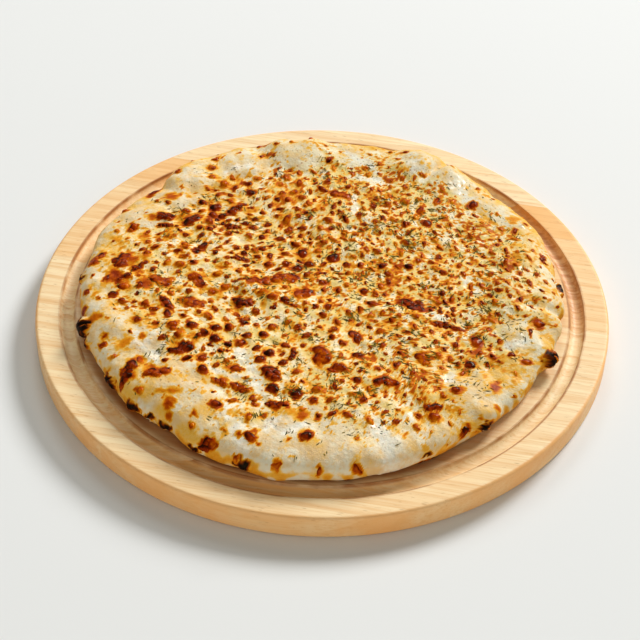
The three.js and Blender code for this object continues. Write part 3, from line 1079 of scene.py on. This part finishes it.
def makeBlisters(look, blisters, surface, crust):
    # each cap is rings of points round its middle, each ring an uneven ellipse laid on the bread and lifted
    # off it; the first ring is sunk into the bread, a tip closes the top and a point below the underside
    rng = np.random.default_rng(look["seed"] + 2)
    count, sides, rings = len(blisters), look["sides"], np.array(look["rings"])
    x, y, longHalf, shortHalf, turn, dark, height = (column[:, None, None] for column in blisters.T)
    phi = (np.arange(sides) * 2 * math.pi / sides)[None, None, :]
    uneven = np.ones((count, 1, sides))
    ragged = 0.5 + 1.3 * rng.random((count, 1, 1)) ** 2
    for waves, amount in ((2, 0.08), (3, 0.10), (4, 0.05)):
        start = rng.random((count, 1, 1)) * 2 * math.pi
        uneven += amount * ragged * rng.standard_normal((count, 1, 1)) * np.cos(waves * phi + start)
    share = rings[None, :, None] * np.clip(uneven, 0.6, 1.4)
    c, s = np.cos(np.radians(turn)), np.sin(np.radians(turn))
    along, across = share * longHalf * np.cos(phi), share * shortHalf * np.sin(phi)
    bed, _ = onBread(surface, x + along * c - across * s, y + along * s + across * c)
    middle, out = onBread(surface, x[:, :, 0], y[:, :, 0])
    lifts = np.array(look["lifts"])[None, :, None] * height
    lifts[:, 0] = look["lifts"][0]  # the sunk ring is as deep under a low cap as under a high one
    ringPoints = bed + lifts[:, :-1, :, None] * out[:, :, None, :]
    tip = middle[:, 0] + lifts[:, -1] * out[:, 0]
    under = bed[:, 0].mean(1) - look["rootDepth"] * out[:, 0]
    points = np.concatenate([ringPoints.reshape(count, -1, 3), tip[:, None], under[:, None]], 1)
    baked = dark * np.array(look["shades"])[None, :, None]
    # painted shade: each cap's colour is darker on its far side, away from the camera
    farSide = np.radians(rng.normal(100, 45, (count, 1, 1))) - np.radians(turn)
    farShaded = baked[:, :-1] * (1 + look["farShade"] * rings[None, :, None] * np.cos(phi - farSide))
    brown = np.concatenate([farShaded.reshape(count, -1), baked[:, -1], baked[:, 0]], 1)

    # bands between neighbouring rings, then a fan to the tip and one to the point below
    here = np.arange(sides)
    after = np.roll(here, -1)
    top, each = (len(rings) - 1) * sides, points.shape[1]
    bands = [np.stack([here, after, after + sides, here + sides], -1) + k for k in range(0, top, sides)]
    tipFan = np.stack([here + top, after + top, np.full(sides, each - 2)], -1)
    rootFan = np.stack([after, here, np.full(sides, each - 1)], -1)
    quads = repeated(np.vstack(bands), count, each)
    triangles = repeated(np.vstack([tipFan, rootFan]), count, each)
    fields = {"brown": brown.ravel()}
    piece = makePiece("brownedBlisters", points.reshape(-1, 3) * mm, quads, triangles, fields)
    cellUv(piece, count, rings, sides)
    piece.data.materials.append(crust)
    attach(piece, "root")
    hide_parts("cheese_flatbread")
    print("blisters:", count, "caps,", len(quads) * 2 + len(triangles), "triangles")


herbLook = {
    "seed": 5,
    "count": 2900,
    "bundles": 800,  # leaves fall in loose bundles that lie much the same way
    "reach": 144.0,  # millimetres from the middle along the skin
    "spread": 2.0,  # of a bundle
    "length": (1.4, 5.2),
    "width": (0.30, 0.75),
    "thickness": 0.28,
    "stations": (-0.5, -0.18, 0.18, 0.5),  # places along a leaf, as shares of its length
    "widths": (0.0, 1.0, 0.85, 0.0),
    "sink": 0.05,
    "weldWithin": 0.001 * mm,
    # dark green, olive and straw
    "tones": [
        (0.0, tint(58, 52, 8)), (0.35, tint(90, 82, 16)), (0.7, tint(132, 116, 30)),
        (1.0, tint(176, 148, 56)),
    ],
    "vein": tint(64, 58, 14),
}


def makeHerbs(look, skin, surface, leaf):
    # each flake is a short leaf along a bent line: four diamond sections, the first and last drawn to points
    rng = np.random.default_rng(look["seed"])
    bundles, tries = look["bundles"], look["count"] * 6
    reach = look["reach"] * np.sqrt(rng.random(bundles))
    turn = rng.random(bundles) * 2 * math.pi
    bundle = rng.integers(0, bundles, tries)
    xs = (reach * np.cos(turn))[bundle] + rng.normal(0, look["spread"], tries)
    ys = (reach * np.sin(turn))[bundle] + rng.normal(0, look["spread"], tries)
    chance = 0.05 + 0.95 * onSkin(skin["herby"], xs, ys) ** 1.5
    chance = chance * (1 - 0.65 * smoothStep(70, 120, ys))  # few have fallen at the back
    keep = np.flatnonzero(rng.random(tries) < chance)[: look["count"]]
    count = len(keep)
    lie = (rng.random(bundles) * 2 * math.pi)[bundle[keep]] + rng.normal(0, 0.35, count)
    (short, longest), (narrow, widest) = look["length"], look["width"]
    long = short + (longest - short) * rng.random(count) ** 1.6
    wide = narrow + (widest - narrow) * rng.random(count)
    bend = rng.normal(0, 0.22, count) * long
    ends = rng.normal(0, 0.16, (2, count))  # how far each end is lifted, as a share of the length
    middle, out = onBread(surface, xs[keep], ys[keep])
    level = np.stack([np.cos(lie), np.sin(lie), np.zeros(count)], -1)
    ahead = level - (level * out).sum(-1, keepdims=True) * out
    ahead /= np.linalg.norm(ahead, axis=-1, keepdims=True)
    beside = np.cross(out, ahead)
    t = np.array(look["stations"])
    lift = np.where(t < 0, np.abs(ends[0])[:, None], np.abs(ends[1])[:, None]) * np.abs(t) * long[:, None]
    lift = lift + look["thickness"] / 2 - look["sink"]
    spine = middle[:, None] + ahead[:, None] * (t * long[:, None])[..., None]
    spine = spine + beside[:, None] * (bend[:, None] * (t**2 - 0.08))[..., None]
    spine = spine + out[:, None] * lift[..., None]
    sideways = beside[:, None] * (np.array(look["widths"]) * wide[:, None] / 2)[..., None]
    upwards = out[:, None] * (look["thickness"] / 2 * np.array([0, 1, 1, 0]))[None, :, None]
    sections = [spine + sideways, spine + upwards, spine - sideways, spine - upwards]
    inner = np.stack([part[:, 1:-1] for part in sections], 2).reshape(count, -1, 3)
    points = np.concatenate([inner, spine[:, :1], spine[:, -1:]], 1)
    a = np.arange(4)
    b = np.roll(a, -1)
    each = points.shape[1]
    fans = [np.stack([b, a, np.full(4, each - 2)], -1), np.stack([a + 4, b + 4, np.full(4, each - 1)], -1)]
    quads = repeated(np.stack([a, b, b + 4, a + 4], -1), count, each)
    triangles = repeated(np.vstack(fans), count, each)
    fields = {"tone": np.repeat(rng.random(count), each)}
    piece = makePiece("herbFlakes", points.reshape(-1, 3) * mm, quads, triangles, fields)
    weld(piece, look["weldWithin"])
    piece.data.materials.append(leaf)
    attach(piece, "root")
    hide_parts("cheese_flatbread")
    print("herbs:", count, "flakes")


cheeseLook = {
    "milk": tint(254, 239, 203),
    "cream": tint(247, 212, 142),
    "butter": tint(240, 180, 78),
    "dough": tint(234, 223, 194),
    "toastedDough": tint(230, 192, 132),
    # near-white of the runs: melted cheese, and partly painted reflection
    "wet": tint(240, 237, 222),
    "herbJuice": tint(228, 202, 118),
    "herb": tint(96, 80, 30),
    "freckle": tint(176, 88, 22),
    # from unbrowned to burnt
    "browning": [
        (0.00, tint(242, 204, 124)), (0.12, tint(240, 184, 72)), (0.25, tint(228, 146, 22)),
        (0.38, tint(206, 104, 2)), (0.52, tint(174, 68, 0)), (0.68, tint(136, 38, 0)),
        (0.84, tint(90, 20, 0)), (1.00, tint(44, 10, 1)),
    ],
    "burnt": tint(22, 12, 8),
    "rightBackShade": (0.83, 0.85, 0.83),  # painted shade that darkens the rim's right and back side, where the key light falls
    "underside": tint(196, 146, 84),
    "undersideSpots": tint(120, 66, 28),
    # noise scales in waves per metre, fine and middling, on the crust and on the blisters
    "crustGrain": (1500.0, 420.0),
    "blisterGrain": (1700.0, 520.0),
    # and how high those two stand up as bumps
    "crustBumps": (0.14 * mm, 0.45 * mm),
    "blisterBumps": (0.05 * mm, 0.16 * mm),
}


def grit(fine, mid):
    # two sizes of noise, centred on nothing
    return (fine - 0.5) * 0.20 + (mid - 0.5) * 0.34


def glaze(n, coat, roughness, depth):
    # the fixed part of a moist baked surface
    n.set(Specular_IOR_Level=0.05, Specular_Tint=(1.0, 0.72, 0.32))
    n.set(Coat_Weight=coat, Coat_Roughness=roughness)
    n.set(Subsurface_Weight=depth, Subsurface_Radius=(1.0, 0.55, 0.25), Subsurface_Scale=1.4 * mm)


def cheeseMaterial(look):
    # one browning value, roughened by noise, runs through a colour ramp; dough, white runs, herb dust,
    # burnt drips and the baked underside are mixed over it
    n = Nodes("bakedCheeseCrust")
    spot = n.place()
    fine, mid = (n.noise(spot, scale, 3.0, 0.6) for scale in look["crustGrain"])
    wide = n.noise(spot, 130.0)
    brown, bare, wet = n.attribute("brown"), n.attribute("bare"), n.attribute("wet")
    char, down, herby = n.attribute("char"), n.attribute("down"), n.attribute("herby")
    level = n.math("ADD", brown, grit(fine, mid) * (brown * 0.9 + 0.10), clamp=True)
    colour = n.mix(n.span(wide, 0.34, 0.66), look["cream"], look["milk"])
    colour = n.mix(n.span(mid, 0.50, 0.72, 0.0, 0.7), colour, look["butter"])
    colour = n.mix(n.span(wide, 0.62, 0.40, 0.0, 0.75) * herby, colour, look["herbJuice"])
    crust = n.mix(n.span(n.noise(spot, 55.0, 4.0, 0.6), 0.42, 0.60), look["dough"], look["toastedDough"])
    colour = n.mix(bare * 0.75, colour, crust)
    colour = n.mix(n.span(down, 0.78, 0.93, 0.0, 0.8), colour, crust)
    thread = abs(n.noise(spot, 260.0, 2.0, 0.5, 0.6) - 0.5)
    threads = n.span(thread, 0.030, 0.008) * herby * n.span(wide, 0.42, 0.60)
    colour = n.mix(threads * 0.55, colour, look["herb"])
    # the runs' near-white colour, partly melted cheese and partly painted reflection
    colour = n.mix(wet * n.span(mid, 0.35, 0.60, 0.85, 0.50), colour, look["wet"])
    colour = n.mix(n.span(level, 0.02, 0.14), colour, n.ramp(level, look["browning"]))

    # freckles and herb dust, then what is burnt
    beside = n.add("ShaderNodeMapping", {"Vector": spot, "Location": (0.3, 0.2, 0.1)})
    freckles = n.dots(beside, 380.0, 0.30, 0.12, 0.58)
    colour = n.mix(freckles * n.span(down, 0.92, 0.70, 0.10, 0.70), colour, look["freckle"])
    dust = n.dots(spot, 520.0, 0.30, 0.20, 0.66) * (herby * 0.7 + 0.12)
    colour = n.mix(dust * n.span(down, 0.95, 0.85), colour, look["herb"])
    colour = n.mix(char, colour, look["burnt"])

    # painted shade darkens the rim's right and back side, and the underside is baked brown
    x, y, _ = n.parts(spot)
    rightBackShade = n.span(x + y, -30 * mm, 90 * mm) * n.span(n.length(x, y), 85 * mm, 118 * mm, 0.15, 0.85)
    colour = n.mix(rightBackShade, colour, look["rightBackShade"], "MULTIPLY")
    sole = n.mix(n.span(n.noise(spot, 120.0), 0.52, 0.66), look["underside"], look["undersideSpots"])
    glaze(n, 0.04, 0.2, 0.05)
    n.set(Base_Color=n.mix(n.span(down, 0.965, 0.995), colour, sole))
    n.set(Roughness=n.span(mid, 0.3, 0.7, 0.30, 0.50) - wet * 0.18)
    n.set(Coat_Weight=wet * n.span(level, 0.08, 0.28, 0.50, 0.0) + 0.01)
    small, large = look["crustBumps"]
    n.set(Normal=n.bump(fine, small, n.bump(mid, large)))
    return n.material


def blisterMaterial(look):
    # the same browning ramp, deeper and glossier, with fine wrinkles
    n = Nodes("brownedBlister")
    spot = n.place()
    fine, mid = (n.noise(spot, scale, 3.0, 0.6) for scale in look["blisterGrain"])
    patchy = (n.noise(spot, 230.0, 2.0) - 0.5) * 0.55
    level = n.math("ADD", n.attribute("brown") + patchy, grit(fine, mid), clamp=True)
    glaze(n, 0.02, 0.08, 0.0)
    n.set(Base_Color=n.ramp(level, look["browning"]))
    n.set(Roughness=n.span(mid, 0.3, 0.7, 0.12, 0.26))
    small, large = look["blisterBumps"]
    n.set(Normal=n.bump(mid, large, n.bump(fine, small)))
    return n.material


def herbMaterial(look):
    # dried leaf: each flake has its own tone, with darker veins
    n = Nodes("driedHerb")
    vein = n.noise(n.place(), 2600.0, 2.0)
    leaf = n.ramp(n.attribute("tone"), look["tones"])
    n.set(Base_Color=n.mix(n.span(vein, 0.45, 0.62, 0.0, 0.5), leaf, look["vein"]))
    n.set(Roughness=n.span(vein, 0.3, 0.7, 0.55, 0.75))
    n.set(Specular_IOR_Level=0.10, Normal=n.bump(vein, 0.06 * mm))
    return n.material


skin, blisters = bakeSkin(bakeLook, blisterLook)
breadSurface = makeBread(crustLook, skin, cheeseMaterial(cheeseLook))
makeBlisters(blisterLook, blisters, breadSurface, blisterMaterial(cheeseLook))
makeHerbs(herbLook, skin, breadSurface, herbMaterial(herbLook))
